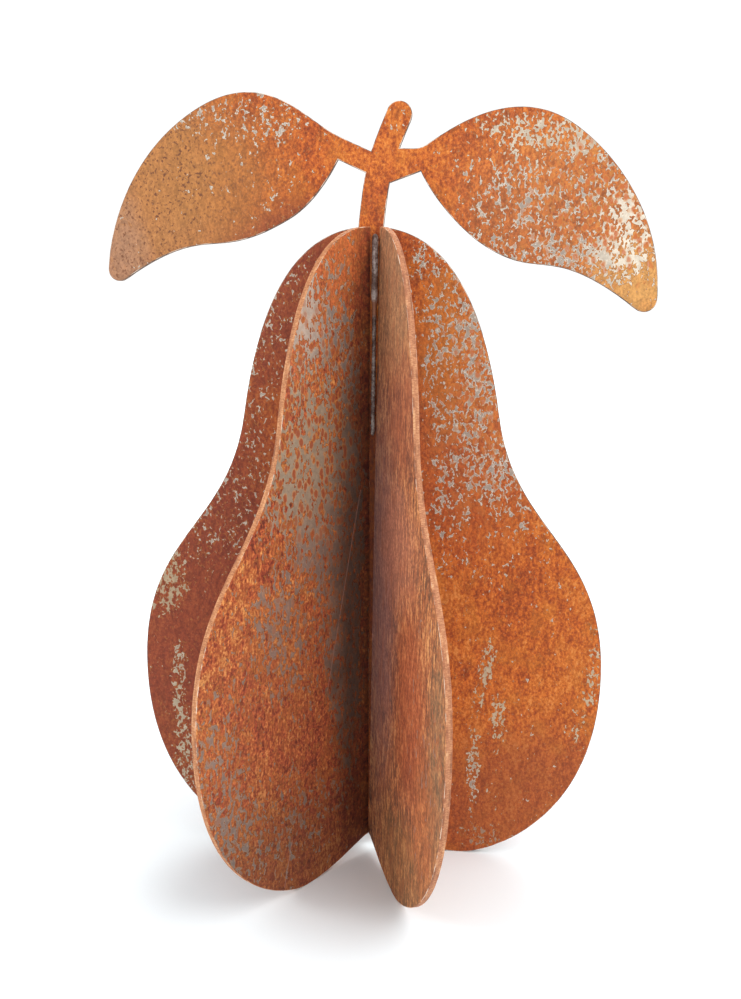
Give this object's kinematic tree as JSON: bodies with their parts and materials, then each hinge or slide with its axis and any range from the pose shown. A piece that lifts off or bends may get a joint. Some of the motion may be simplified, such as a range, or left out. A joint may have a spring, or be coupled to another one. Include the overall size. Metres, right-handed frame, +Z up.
{
  "type": "metal pear sculpture",
  "caption": "Standing pear of rusted flat steel sheet: a full silhouette with stem and leaves, crossed by half-pear fins round its axis.",
  "frame": {"origin": "middle of the underside of the whole sculpture, on the ground that its feet stand on", "axes": "+Z up along the pear's axis, the main plate lies in the XZ plane and shows its front to -Y"},
  "size_m": [0.2764, 0.2224, 0.4002],
  "materials": {
    "main_plate_steel": "hot-rolled sheet, matt orange rust with flecks of bare grey mill scale",
    "fin_steel": "hot-rolled sheet, darker red-brown rust over streaks of blue-grey mill scale",
    "weld_bead": "lumpy grey weld metal, slightly shiny, with brown spots"
  },
  "bodies": {
    "root": {"main_plate": "main_plate_steel", "front_left_fin": "fin_steel", "front_right_fin": "fin_steel", "rear_left_fin": "fin_steel", "rear_right_fin": "fin_steel", "front_weld_seam": "weld_bead", "rear_weld_seam": "weld_bead"}
  },
  "joints": []
}
